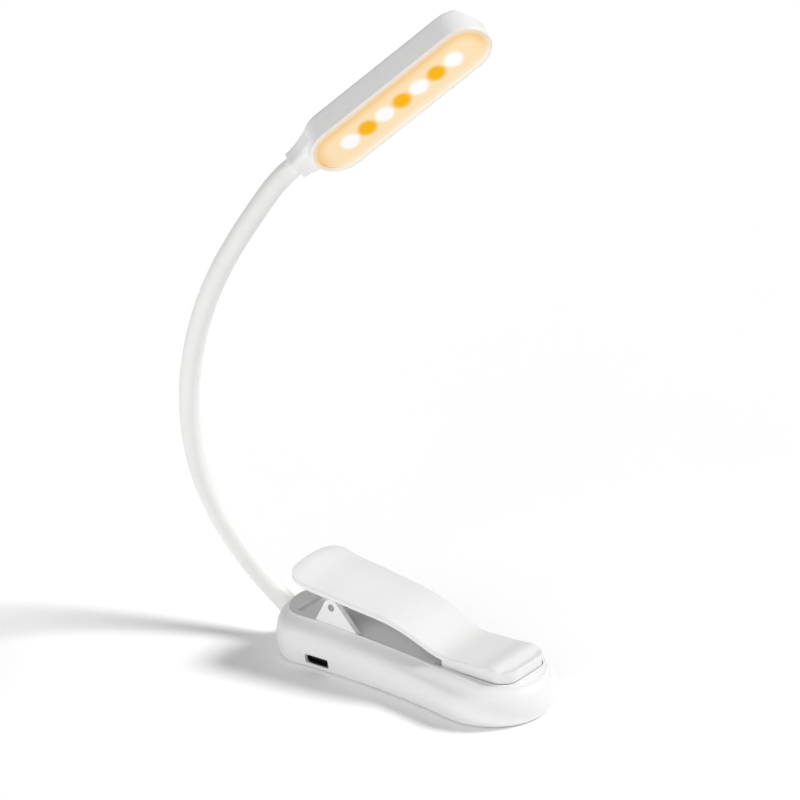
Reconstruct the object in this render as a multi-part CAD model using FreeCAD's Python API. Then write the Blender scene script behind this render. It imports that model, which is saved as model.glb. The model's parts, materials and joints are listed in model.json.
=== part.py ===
import FreeCAD, Part
import math
import os

# Clip-on reading lamp, in millimetres. The clip stands on its base: +X runs from the neck end of the
# base to the jaw tip, +Z is up, and the origin is the middle of the face that the base rests on.

V = FreeCAD.Vector

# ---- The sizes that the rest follows ------------------------------------------------------------
BASE_HEIGHT = 15.2           # top face above the floor, at X = 0
LEVER_WIDTH = 24.3           # of the clip's lever at the jaw
LOOSE = 0.15                 # gap between pieces that are laid into one another

# ---- Base housing -------------------------------------------------------------------------------
# the plan is four radii that run into one another: a broad round jaw end, a waist, two rear corners
# and a rounder neck end. WIDE_PLAN is the widest line round the side.
WIDE_PLAN = {
    "tip": 53.4,
    "front_radius": LEVER_WIDTH / 2 + 9.85,
    "waist_half": LEVER_WIDTH / 2 + 5.45,
    "rear": 53.2,
    "corner": 10.0,
    "rear_radius": 22.0,
}
# how much smaller each of those is along the edge of the top face
TOP_INSET = {
    "tip": 3.0,
    "front_radius": 6.0,
    "waist_half": 5.3,
    "rear": 4.4,
    "corner": 3.0,
    "rear_radius": 5.0,
}
WAIST_X = -17.0
TOP_SLOPE = 1.8              # degrees that the top face drops towards the jaw
WIDEST_Z = 6.0
UNDERCUT = 1.6               # how far the bottom edge stands in from the widest line
WALL = 2.0
FOOT_THICKNESS = 0.6
FOOT_INSET = 3.4             # from the widest line to the edge of the silicone foot
COVER_THICKNESS = 1.5
LIP_HEIGHT = 1.2
LIP_WIDTH = 1.2
RECESS_DEPTH = 1.4           # trough in the top face, under the lever

# ---- Hinge --------------------------------------------------------------------------------------
PIN_X = -26.4
PIN_Z = BASE_HEIGHT + 7.2
PIN_RADIUS = 1.3
PIN_RUNNING = 0.05           # radial clearance of the lever on its pin
EAR_OUTER = LEVER_WIDTH / 2 - 0.15
EAR_THICKNESS = 2.0
EAR_TOP_RADIUS = 3.0
EAR_FOOT_REAR = -34.0
EAR_FOOT_FRONT = -14.2

# ---- Lever --------------------------------------------------------------------------------------
THUMB_WIDTH = LEVER_WIDTH + 5.1
LEVER_THICKNESS = 1.6
LEVER_REAR = -43.7
LEVER_TIP = WIDE_PLAN["tip"] - 7.4
LEVER_GAP = 1.55             # between the ear's round top and the underside of the plate
THUMB_SLOPE = -0.114         # rise per millimetre along the thumb plate
RAMP_SLOPE = -0.435          # the same along the ramp
JAW_SLOPE = 0.047            # the same along the jaw
RAMP_START_X = 0.9
RAMP_END_X = 18.5
RAMP_START_BLEND = 8.0       # half length of the bend at the ramp's top
RAMP_END_BLEND = 4.0         # half length of the bend at the ramp's foot
THUMB_CROWN = 2.4            # how much the thumb plate rises in its middle
LEVER_EDGE_ROUND = 0.6
TIP_CORNER = 6.0
THUMB_CORNER = 6.0
WEB_THICKNESS = 2.0
WEB_GAP = 0.4                # between an ear and the lever's web
JAW_WALL = 1.8
JAW_START_X = 19.5
RIB_THICKNESS = 1.4
RIB_DEPTH = 1.6

# ---- Grip pads ----------------------------------------------------------------------------------
PAD_SEAT_Z = BASE_HEIGHT - 2.8
PAD_THICKNESS = 1.5
PAD_START_X = 22.0
PAD_GAP = 0.45               # around the jaw, inside the rim
RIM_WIDTH = 0.8
RIM_ABOVE_PAD = 0.3
RIM_SKIRT = 4.2              # below the base's top, from where the rim stays inside the side wall
JAW_CLOSED_GAP = 0.1         # between the two pads with the clip shut
JAW_PAD_PROUD = 0.25         # how far the lever's pad stands out of its tray
JAW_PAD_DEPTH = 1.6          # of the lever's pad inside its tray
GRIP_RIDGE_PITCH = 2.5
GRIP_RIDGE_DEPTH = 0.35
GRIP_MARGIN = 3.3            # from the pad's long edges to the ends of the grooves

# ---- Spring -------------------------------------------------------------------------------------
SPRING_RADIUS = 2.45         # to the middle of the wire
WIRE_RADIUS = 0.45
SPRING_PITCH = 1.15
SPRING_TURNS = 2.5           # in each half
SPRING_LEG = 9.0
LEG_GAP = 0.05               # between the end of a leg and the face it presses on

# ---- Charging socket and electronics ---------------------------------------------------------------
PORT_X = -28.4
PORT_WIDTH = 8.94
PORT_HEIGHT = 3.26
PORT_DEPTH = 7.3
PORT_SHEET = 0.3
PORT_SETBACK = 0.7           # from the wall's outer face to the mouth of the socket
PORT_OPENING_CORNER = 0.5    # of the opening in the wall, which is squarer than the socket
TONGUE_SETBACK = 1.2         # from the mouth of the socket to its tongue
PLUG_THICKNESS = 1.5         # of the block that closes the socket's back
TONGUE_WIDTH = 6.7
TONGUE_THICKNESS = 0.7
BOARD_Z = FOOT_THICKNESS + COVER_THICKNESS + PORT_HEIGHT + 0.24
BOARD_THICKNESS = 1.0
BOARD_REAR = -41.0
BOARD_FRONT = -13.5
BOARD_HALF = LEVER_WIDTH / 2 + 0.25     # from the middle to the socket's edge of the board
BOARD_CORNER = 1.0
BATTERY_WIDTH = 20.0
BATTERY_THICKNESS = BASE_HEIGHT - 9.6
BATTERY_REAR = -9.0
BATTERY_TO_SCREW = 6.0       # from the cell's far end to the front screws
BATTERY_ROUND = 1.2
TAPE_THICKNESS = 0.9
TAPE_MARGIN = 3.0            # from the cell's edges to the tape's
SCREW_RADIUS = 1.0
SCREW_HEAD_RADIUS = 1.9
SCREW_HEAD_HEIGHT = 1.0
SCREW_LENGTH = 5.5
SCREW_CROSS_HALF = 1.2       # half length of each slot of the cross
SCREW_CROSS_WIDTH = 0.6
SCREW_CROSS_DEPTH = 0.5
BOSS_RADIUS = 2.4
REAR_SCREW_X = 9.6 - WIDE_PLAN["rear"]
FRONT_SCREW_X = WIDE_PLAN["tip"] - 10.4
REAR_SCREW_Y = 8.6
FRONT_SCREW_Y = 7.0
BOARD_SCREW_X = -16.5
BOARD_SCREW_Y = 8.0
CHIP_LOW = V(-32.5, -6.0, BOARD_Z + BOARD_THICKNESS)
CHIP_SIZE = V(5.0, 4.0, 1.2)
CHARGE_LED_LOW = V(-20.5, 6.8, BOARD_Z + BOARD_THICKNESS)
CHARGE_LED_SIZE = V(1.6, 0.8, 0.8)

# ---- Push buttons, on the side away from the socket --------------------------------------------------
BUTTON_X = {"brightness_button": -35.0, "colour_button": -24.0}
PARTING_Z = FOOT_THICKNESS + COVER_THICKNESS
CAVITY_TOP = BASE_HEIGHT - RECESS_DEPTH - WALL
BUTTON_ROOM = CAVITY_TOP - PARTING_Z - LIP_HEIGHT
BUTTON_Z = CAVITY_TOP - BUTTON_ROOM / 2
BUTTON_FLANGE = BUTTON_ROOM / 2 - 1.15
BUTTON_RADIUS = BUTTON_FLANGE - 0.5
BUTTON_RUNNING = 0.08
BUTTON_ROUND = 0.4
BUTTON_FLANGE_THICKNESS = 0.6
BUTTON_PROUD = 0.6
BUTTON_TRAVEL_ROOM = 0.4
SWITCH_SIZE = 3.6
SWITCH_DEPTH = 2.5
SWITCH_HEIGHT = 2.4
SWITCH_NUB = 0.5             # how far the nub stands out of the switch
SWITCH_NUB_WIDTH = 1.6
SWITCH_NUB_HEIGHT = 1.2

# ---- Neck -----------------------------------------------------------------------------------------
NECK_START = V(0.2 - WIDE_PLAN["rear"], 0.0, BASE_HEIGHT * 0.717)
SLEEVE_RADIUS = 3.6
HOSE_RADIUS = 2.5
BORE_RADIUS = 1.3
WIRE_BUNDLE_RADIUS = 0.9
WIRE_REACH = SLEEVE_RADIUS - 0.2     # how far the wires run on into a link's ball end
BALL_CLEARANCE = 0.2         # between the round end of one neck link and the hollow end of the next
ROOT_LENGTH = 10.0
LINK_LENGTH = 26.1
TIP_LENGTH = 12.0
# direction of the neck at its start, at each joint and at its end: degrees up from +X, degrees to +Y
NECK_DIRECTIONS = [
    (145.5, 0.0), (145.5, 0.0), (129.8, 0.0), (105.0, 0.0), (85.4, 1.0),
    (74.5, 6.0), (64.4, 13.0), (60.9, 20.0), (46.4, 25.5),
]
SLEEVE_SEAT = 3.0            # how far the sleeve goes into each socket
HOSE_SEAT = NECK_START.z * 0.735     # how far the metal hose goes into each socket
FERRULE_RADIUS = SLEEVE_RADIUS - 0.1
FERRULE_START = SLEEVE_SEAT + 0.6
SOCKET_BOSS_RADIUS = SLEEVE_RADIUS + 1.4
SOCKET_BOSS_LENGTH = HOSE_SEAT + 0.6

# ---- Lamp head --------------------------------------------------------------------------------------
FACE_ROLL = V(0.758, -0.538, -0.369)    # the way the light shines
HEAD_LENGTH = 74.0
HEAD_WIDTH = 21.0
HEAD_THICKNESS = 11.4
HEAD_START = 7.5             # from the neck's end to the near end of the body
AXIS_DEPTH = 7.6             # of the neck's axis behind the light face
BACK_ROUND = 2.6
FRONT_ROUND = 0.8
PARTING_DEPTH = 5.0          # of the joint between the two head shells, behind the light face
HEAD_WALL = 1.4
NOSE_BEVEL_LENGTH = 5.5      # the slope at the far end of the back shell
COLLAR_HALF = SLEEVE_RADIUS + 0.8   # half width of the collar that takes the neck
COLLAR_DEPTH = SLEEVE_RADIUS + 0.6  # of the collar before and behind the neck's axis
COLLAR_MOUTH = 0.5           # of the collar's end along the head, from the end of the neck
COLLAR_ROUND = 2.4           # radius of the collar's four long edges
WINDOW_MARGIN = 2.0          # from the head's edge to the window
LENS_THICKNESS = 1.0
LENS_SETBACK = 0.3
LENS_GAP = 0.1
LENS_LEDGE = 1.0
LED_COUNT = 7
LED_PITCH = 7.5
LED_PACKAGE = 5.0
LED_PACKAGE_HEIGHT = 0.8
LED_DOME_RADIUS = 3.0
LED_DOME_HEIGHT = 1.1
LED_DOME_ROUND = 0.5
LED_BOARD_DEPTH = 4.4
LED_BOARD_THICKNESS = 1.0
REFLECTOR_THICKNESS = 0.8
REFLECTOR_HOLE_GAP = 0.3

ORIGIN = V(0, 0, 0)
UP = V(0, 0, 1)
PARTS = {}


def box(low, high):
    size = V(*high) - V(*low)
    return Part.makeBox(size.x, size.y, size.z, V(*low))


def prism(points, thickness, direction):
    """A flat outline with straight sides, pushed along a direction."""
    return Part.Face(Part.makePolygon(points + [points[0]])).extrude(direction * thickness)


def join(shapes):
    whole = shapes[0]
    for shape in shapes[1:]:
        whole = whole.fuse(shape)
    return whole.removeSplitter()


# ---- Plan outline of the base, in four radii that meet smoothly --------------------------------------
def circles_meet(c1, r1, c2, r2):
    """Where two circles in plan cross, on the far side of the line from c1 to c2, towards -X."""
    apart = c2 - c1
    d = apart.Length
    along = (d * d + r1 * r1 - r2 * r2) / (2 * d)
    across = math.sqrt(r1 * r1 - along * along)
    u = apart / d
    return c1 + u * along + V(-u.y, u.x, 0) * across


def plan_between(share):
    """The plan's sizes, share of the way from the widest line to the edge of the top face."""
    return {key: WIDE_PLAN[key] - TOP_INSET[key] * share for key in WIDE_PLAN}


def waist_circle(plan):
    """Centre and radius of the long hollow curve of the waist, on the +Y side."""
    front_radius = plan["front_radius"]
    half = plan["waist_half"]
    run = plan["tip"] - front_radius - WAIST_X
    radius = (run ** 2 + half ** 2 - front_radius ** 2) / (2 * (front_radius - half))
    return V(WAIST_X, half + radius, 0), radius


def base_outline(inset, share=0.0):
    """The base in plan, as a closed wire at Z = 0, moved in by inset."""
    plan = plan_between(share)
    front_radius = plan["front_radius"]
    corner_radius = plan["corner"]
    tip = plan["tip"]
    end = plan["rear"]
    front = V(tip - front_radius, 0, 0)
    waist, waist_radius = waist_circle(plan)
    rear = V(plan["rear_radius"] - end, 0, 0)
    # the corner's circle touches the waist's circle from outside and the rear end's from inside
    corner = circles_meet(rear, plan["rear_radius"] - corner_radius, waist, waist_radius + corner_radius)
    to_side = (waist - corner).normalize()
    to_rear = (corner - rear).normalize()
    front_joint = front + (waist - front).normalize() * (front_radius - inset)
    side_joint = corner + to_side * (corner_radius - inset)
    side_mid = V(WAIST_X, plan["waist_half"] - inset, 0)
    corner_mid = corner + (to_side + to_rear).normalize() * (corner_radius - inset)
    rear_joint = corner + to_rear * (corner_radius - inset)
    other = [V(p.x, -p.y, 0) for p in (front_joint, side_mid, side_joint, corner_mid, rear_joint)]
    arcs = [
        Part.Arc(other[0], V(tip - inset, 0, 0), front_joint),
        Part.Arc(front_joint, side_mid, side_joint),
        Part.Arc(side_joint, corner_mid, rear_joint),
        Part.Arc(rear_joint, V(inset - end, 0, 0), other[4]),
        Part.Arc(other[4], other[3], other[2]),
        Part.Arc(other[2], other[1], other[0]),
    ]
    return Part.Wire([arc.toShape() for arc in arcs])


def base_profile():
    """The side from the cover up, as (height, inset, share of the way to the top face's edge)."""
    rise = BASE_HEIGHT - WIDEST_Z
    drop = WIDEST_Z - FOOT_THICKNESS
    return [
        (FOOT_THICKNESS, UNDERCUT, 0.0),
        (FOOT_THICKNESS + drop * 0.4, UNDERCUT * 0.4, 0.0),
        (WIDEST_Z, 0.0, 0.0),
        (WIDEST_Z + rise * 0.38, 0.3, 0.0),
        (WIDEST_Z + rise * 0.58, 0.8, 0.02),
        (WIDEST_Z + rise * 0.74, 1.1, 0.18),
        (BASE_HEIGHT, 0.0, 1.0),
    ]


def side_at(height):
    """(inset, share) of the side at a height."""
    rows = base_profile()
    for (z0, i0, s0), (z1, i1, s1) in zip(rows, rows[1:]):
        if z0 <= height <= z1:
            part = (height - z0) / (z1 - z0)
            return i0 + (i1 - i0) * part, s0 + (s1 - s0) * part
    return rows[-1][1:]


def side_half(x, height):
    """Half width of the base at x and height, along its long side."""
    centre, radius = waist_circle(WIDE_PLAN)
    inset, share = side_at(height)
    widest = centre.y - math.sqrt(radius ** 2 - (x - centre.x) ** 2)
    return widest - inset - TOP_INSET["waist_half"] * share


def base_body(inset, top):
    """The base's solid form, moved in by inset and ending at the sloping height top."""
    rows = [row for row in base_profile() if row[0] < top - 0.5]
    rows.append((top, *side_at(top)))
    wires = []
    for z, side_inset, share in rows:
        wire = base_outline(side_inset + inset, share)
        wire.rotate(ORIGIN, V(0, 1, 0), TOP_SLOPE * (z - FOOT_THICKNESS) / (BASE_HEIGHT - FOOT_THICKNESS))
        wire.translate(V(0, 0, z))
        wires.append(wire)
    return Part.makeLoft(wires, True, False)


def top_z(x):
    """Height of the sloping top face at x."""
    return BASE_HEIGHT - x * math.tan(math.radians(TOP_SLOPE))


PAD_TOP_Z = PAD_SEAT_Z + PAD_THICKNESS
EAR_INNER = EAR_OUTER - EAR_THICKNESS
WEB_OUTER = EAR_INNER - WEB_GAP
PIN_CENTRE = V(PIN_X, 0, PIN_Z)
SPAN = 200.0                 # longer than any base, for cutting tools


# ---- Neck path ------------------------------------------------------------------------------------
def heading(angles):
    up, side = (math.radians(a) for a in angles)
    return V(math.cos(up) * math.cos(side), math.sin(side), math.sin(up) * math.cos(side))


class Bend:
    """One stretch of the neck: an arc from start, turning from one heading to the next."""

    def __init__(self, start, first, last, length):
        self.start, self.first, self.last, self.length = start, first, last, length
        self.angle = math.acos(max(-1.0, min(1.0, first.dot(last))))
        self.straight = self.angle < 0.002
        if self.straight:
            self.end = start + first * length
            return
        self.radius = length / self.angle
        inward = (last - first * first.dot(last)).normalize()
        self.centre = start + inward * self.radius
        self.axis = first.cross(last).normalize()
        along = self.radius * math.sin(self.angle)
        across = self.radius * (1 - math.cos(self.angle))
        self.end = start + first * along + inward * across

    def rod(self, radius, before=0.0, after=0.0):
        """A round rod along the stretch, running on past each end."""
        if self.straight:
            foot = self.start - self.first * before
            return Part.makeCylinder(radius, self.length + before + after, foot, self.first)
        disc = Part.Face(Part.Wire(Part.Circle(self.start, self.first, radius).toShape()))
        disc.rotate(self.centre, self.axis, -math.degrees(before / self.radius))
        turn = self.angle + (before + after) / self.radius
        return disc.revolve(self.centre, self.axis, math.degrees(turn))


def neck_bends():
    lengths = [ROOT_LENGTH] + [LINK_LENGTH] * (len(NECK_DIRECTIONS) - 3) + [TIP_LENGTH]
    bends = []
    point = NECK_START
    for length, first, last in zip(lengths, NECK_DIRECTIONS, NECK_DIRECTIONS[1:]):
        bend = Bend(point, heading(first), heading(last), length)
        bends.append(bend)
        point = bend.end
    return bends


BENDS = neck_bends()
NECK_IN = heading(NECK_DIRECTIONS[0])


def make_neck():
    """Silicone sleeve, wound metal hose and wires, as links that meet in round ball ends."""
    overrun = SLEEVE_RADIUS * 2
    for k, bend in enumerate(BENDS):
        is_root = k == 0
        is_tip = k == len(BENDS) - 1
        envelope = bend.rod(SLEEVE_RADIUS)
        if not is_tip:
            envelope = envelope.fuse(Part.makeSphere(SLEEVE_RADIUS, bend.end))
        if not is_root:
            envelope = envelope.cut(Part.makeSphere(SLEEVE_RADIUS + BALL_CLEARANCE, bend.start))
        layers = {}
        core = bend.rod(HOSE_RADIUS, overrun, overrun)
        bore = bend.rod(BORE_RADIUS, overrun, overrun)
        wires_start = 0.0 if is_root else SLEEVE_RADIUS + BALL_CLEARANCE * 1.5
        wires = bend.rod(WIRE_BUNDLE_RADIUS, -wires_start, 0.0 if is_tip else WIRE_REACH)
        layers["neck_sleeve"] = envelope.cut(core)
        layers["neck_hose"] = envelope.common(core).cut(bore)
        layers["neck_wires"] = wires
        if is_root or is_tip:
            end = bend.start if is_root else bend.end
            inward = -NECK_IN if is_root else heading(NECK_DIRECTIONS[-1])
            seat = Part.makeCylinder(SLEEVE_RADIUS, SLEEVE_SEAT, end, inward)
            hose_in = Part.makeCylinder(HOSE_RADIUS, HOSE_SEAT, end, inward)
            bore_in = Part.makeCylinder(BORE_RADIUS, HOSE_SEAT, end, inward)
            wires_in = Part.makeCylinder(WIRE_BUNDLE_RADIUS, HOSE_SEAT, end, inward)
            layers["neck_sleeve"] = join([layers["neck_sleeve"], seat.cut(hose_in)])
            layers["neck_hose"] = join([layers["neck_hose"], hose_in.cut(bore_in)])
            layers["neck_wires"] = join([layers["neck_wires"], wires_in])
        name = "root" if is_root else "tip" if is_tip else str(k)
        for layer, shape in layers.items():
            PARTS[layer + "_" + name] = shape


def neck_ferrule(end, inward):
    """Crimped ring that holds the hose in a socket."""
    start = end + inward * FERRULE_START
    length = HOSE_SEAT - FERRULE_START
    ring = Part.makeCylinder(FERRULE_RADIUS, length, start, inward)
    return ring.cut(Part.makeCylinder(HOSE_RADIUS, length, start, inward))


def neck_socket_hollow(end, inward):
    """Space for sleeve, hose and ferrule, open both ways."""
    outside = ROOT_LENGTH * 0.5
    mouth = Part.makeCylinder(SLEEVE_RADIUS, SLEEVE_SEAT + outside, end - inward * outside, inward)
    neck_hole = Part.makeCylinder(HOSE_RADIUS, FERRULE_START, end, inward)
    seat = Part.makeCylinder(FERRULE_RADIUS, SPAN / 10, end + inward * FERRULE_START, inward)
    return mouth.fuse([neck_hole, seat])


# ---- Base pieces --------------------------------------------------------------------------------------
def ear():
    """Upright plate that carries the hinge pin, in the XZ plane at Y = 0, EAR_THICKNESS thick."""
    foot_z = top_z(PIN_X) - WALL
    rear_foot = V(EAR_FOOT_REAR, 0, foot_z)
    front_foot = V(EAR_FOOT_FRONT, 0, foot_z)
    rear_touch = tangent_point(rear_foot, 1)
    front_touch = tangent_point(front_foot, -1)
    outline = [rear_foot, rear_touch, front_touch, front_foot]
    plate = prism(outline, EAR_THICKNESS, V(0, 1, 0))
    cap = Part.makeCylinder(EAR_TOP_RADIUS, EAR_THICKNESS, PIN_CENTRE, V(0, 1, 0))
    return join([plate, cap])


def tangent_point(foot, side):
    """Where the line from foot touches the ear's round top, on its rear (1) or front (-1) flank."""
    away = PIN_CENTRE - foot
    reach = math.sqrt(away.Length ** 2 - EAR_TOP_RADIUS ** 2)
    lean = math.atan2(away.z, away.x) + side * math.asin(EAR_TOP_RADIUS / away.Length)
    return foot + V(math.cos(lean), 0, math.sin(lean)) * reach


def jaw_plan(margin, start_x, low, high):
    """The jaw's plan, with rounded tip corners, grown by margin and as a solid from low to high."""
    half = LEVER_WIDTH / 2 + margin
    radius = TIP_CORNER + margin
    block = box((start_x, -half, low), (LEVER_TIP + margin, half, high))
    return round_uprights(block, radius, lambda at: at.x > start_x + 1)


def port_form(grow, y_from, y_to, corner=None):
    """A charging socket's outline, grown all round, as a solid along Y. Its ends are round unless told."""
    half_w = PORT_WIDTH / 2 + grow
    half_h = PORT_HEIGHT / 2 + grow
    centre_z = BOARD_Z - PORT_HEIGHT / 2
    block = box((PORT_X - half_w, y_from, centre_z - half_h), (PORT_X + half_w, y_to, centre_z + half_h))
    long_edges = [e for e in block.Edges if abs(e.Vertexes[0].Y - e.Vertexes[1].Y) > 0.5]
    return block.makeFillet(corner or half_h - 0.02, long_edges)


def cover_screw_places():
    rear = [V(REAR_SCREW_X, s * REAR_SCREW_Y, 0) for s in (-1, 1)]
    front = [V(FRONT_SCREW_X, s * FRONT_SCREW_Y, 0) for s in (-1, 1)]
    return rear + front


def board_screw_places():
    return [V(BOARD_SCREW_X, s * BOARD_SCREW_Y, 0) for s in (-1, 1)]


def button_inner_y(x):
    """Inner face of a button's flange, which stops against the inside of the wall."""
    return side_half(x, BUTTON_Z + BUTTON_FLANGE) - WALL - LOOSE * 2 - BUTTON_FLANGE_THICKNESS


def switch_front_y(x):
    """Front of a switch's body, behind its nub and the room that the button travels in."""
    return button_inner_y(x) - BUTTON_TRAVEL_ROOM - SWITCH_NUB


def make_base_shell():
    outer = base_body(0, BASE_HEIGHT)
    cavity = base_body(WALL, CAVITY_TOP)
    inside = base_body(WALL * 0.5, CAVITY_TOP + WALL * 0.5)
    shell = outer.cut(cavity)
    # solid posts under the top face, trimmed to the inside of the housing
    posts = []
    for place in cover_screw_places():
        posts.append(Part.makeCylinder(BOSS_RADIUS, SPAN, V(place.x, place.y, PARTING_Z)))
    for place in board_screw_places():
        posts.append(Part.makeCylinder(BOSS_RADIUS, SPAN, V(place.x, place.y, BOARD_Z + BOARD_THICKNESS)))
    socket_start = NECK_START + NECK_IN * 2
    socket = Part.makeCylinder(SOCKET_BOSS_RADIUS, SOCKET_BOSS_LENGTH + 2, socket_start, -NECK_IN)
    shell = shell.fuse([post.common(inside) for post in posts] + [socket.common(inside)])
    # trough under the lever: narrow between the ears, and as wide as the top face in front of them
    floor_cut = box((EAR_FOOT_REAR - 8, -EAR_INNER, 0), (PAD_START_X, EAR_INNER, SPAN))
    wide_cut = box((EAR_FOOT_FRONT - 1, -EAR_OUTER, 0), (PAD_START_X, EAR_OUTER, SPAN))
    trough = floor_cut.fuse(wide_cut)
    trough.translate(V(0, 0, BASE_HEIGHT - RECESS_DEPTH))
    trough.rotate(V(0, 0, BASE_HEIGHT - RECESS_DEPTH), V(0, 1, 0), TOP_SLOPE)
    shell = shell.cut(trough)
    # rim around the grip pad, and the pad's seat
    rim = jaw_plan(PAD_GAP + RIM_WIDTH, PAD_START_X, CAVITY_TOP - 4, PAD_TOP_Z + RIM_ABOVE_PAD)
    seat = jaw_plan(PAD_GAP, PAD_START_X - 5, PAD_SEAT_Z, SPAN)
    above_skirt = box((-SPAN, -SPAN, BASE_HEIGHT - RIM_SKIRT), (SPAN, SPAN, SPAN))
    rim = rim.common(base_body(RIM_WIDTH, BASE_HEIGHT).fuse(above_skirt))
    shell = shell.fuse(rim.cut(cavity)).cut(seat)
    # ears
    right = ear()
    right.translate(V(0, -EAR_OUTER, 0))
    left = ear()
    left.translate(V(0, EAR_INNER, 0))
    shell = shell.fuse([right, left])
    shell = shell.cut(Part.makeCylinder(PIN_RADIUS, SPAN, V(PIN_X, -SPAN / 2, PIN_Z), V(0, 1, 0)))
    # openings
    shell = shell.cut(box((-SPAN, -SPAN, -SPAN), (SPAN, SPAN, PARTING_Z)))
    shell = shell.cut(neck_socket_hollow(NECK_START, -NECK_IN))
    shell = shell.cut(port_form(LOOSE, -SPAN, -BOARD_HALF + 2, PORT_OPENING_CORNER))
    for x in BUTTON_X.values():
        start = V(x, BOARD_HALF - 2, BUTTON_Z)
        shell = shell.cut(Part.makeCylinder(BUTTON_RADIUS + BUTTON_RUNNING, SPAN, start, V(0, 1, 0)))
    for place in cover_screw_places():
        shell = shell.cut(Part.makeCylinder(SCREW_RADIUS, SCREW_LENGTH, V(place.x, place.y, PARTING_Z - 1)))
    for place in board_screw_places():
        shell = shell.cut(Part.makeCylinder(SCREW_RADIUS, SCREW_LENGTH - 1, V(place.x, place.y, BOARD_Z)))
    PARTS["base_upper_shell"] = shell.removeSplitter()


def make_base_cover():
    outer = base_body(0, BASE_HEIGHT).common(box((-SPAN, -SPAN, -1), (SPAN, SPAN, PARTING_Z)))
    lip_outer = base_body(WALL + LOOSE, CAVITY_TOP)
    lip = lip_outer.cut(base_body(WALL + LOOSE + LIP_WIDTH, CAVITY_TOP))
    lip = lip.common(box((-SPAN, -SPAN, PARTING_Z), (SPAN, SPAN, PARTING_Z + LIP_HEIGHT)))
    for place in cover_screw_places():
        lip = lip.cut(Part.makeCylinder(BOSS_RADIUS + LOOSE, SPAN, V(place.x, place.y, 0)))
    lip = lip.cut(port_form(1.0, -SPAN, 0))
    neck_room = Part.makeCylinder(SOCKET_BOSS_RADIUS + 1, SPAN / 4, NECK_START, -NECK_IN)
    lip = lip.cut(neck_room)
    cover = outer.fuse(lip)
    for place in cover_screw_places():
        hole = Part.makeCylinder(SCREW_RADIUS, SPAN, V(place.x, place.y, 0))
        sink = Part.makeCylinder(SCREW_HEAD_RADIUS, SCREW_HEAD_HEIGHT, V(place.x, place.y, FOOT_THICKNESS))
        cover = cover.cut(hole).cut(sink)
    PARTS["base_bottom_cover"] = cover.removeSplitter()
    foot = Part.Face(base_outline(FOOT_INSET)).extrude(V(0, 0, FOOT_THICKNESS))
    PARTS["base_foot_pad"] = foot


def screw(place, seat_z, head_down):
    """Self-tapping screw that points up, with its head below seat_z."""
    bottom = V(place.x, place.y, seat_z - SCREW_HEAD_HEIGHT)
    head = Part.makeCylinder(SCREW_HEAD_RADIUS, SCREW_HEAD_HEIGHT, bottom)
    half_width = SCREW_CROSS_WIDTH / 2
    cross = box((-half_width, -SCREW_CROSS_HALF, 0), (half_width, SCREW_CROSS_HALF, SCREW_CROSS_DEPTH))
    cross = cross.fuse(
        box((-SCREW_CROSS_HALF, -half_width, 0), (SCREW_CROSS_HALF, half_width, SCREW_CROSS_DEPTH)))
    cross.translate(bottom)
    shank = Part.makeCylinder(SCREW_RADIUS, head_down, V(place.x, place.y, seat_z))
    return head.cut(cross).fuse(shank).removeSplitter()


def make_fasteners():
    cover_seat = FOOT_THICKNESS + SCREW_HEAD_HEIGHT
    PARTS["base_screws"] = Part.makeCompound(
        [screw(p, cover_seat, SCREW_LENGTH - 1.5) for p in cover_screw_places()])
    PARTS["board_screws"] = Part.makeCompound(
        [screw(p, BOARD_Z, SCREW_LENGTH - 1.5) for p in board_screw_places()])
    PARTS["hinge_pin"] = Part.makeCylinder(
        PIN_RADIUS, EAR_OUTER * 2 - 0.2, V(PIN_X, 0.1 - EAR_OUTER, PIN_Z), V(0, 1, 0))
    PARTS["neck_base_ferrule"] = neck_ferrule(NECK_START, -NECK_IN)


def make_base_pad():
    pad = jaw_plan(PAD_GAP - LOOSE, PAD_START_X + LOOSE, PAD_SEAT_Z, PAD_TOP_Z)
    ridges = int((LEVER_TIP - PAD_START_X - TIP_CORNER) / GRIP_RIDGE_PITCH)
    half = LEVER_WIDTH / 2 - GRIP_MARGIN
    groove_z = PAD_TOP_Z - GRIP_RIDGE_DEPTH
    for k in range(1, ridges + 1):
        x = PAD_START_X + k * GRIP_RIDGE_PITCH
        pad = pad.cut(box((x, -half, groove_z), (x + GRIP_RIDGE_PITCH / 3, half, PAD_TOP_Z + 1)))
    PARTS["base_jaw_pad"] = pad


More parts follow.
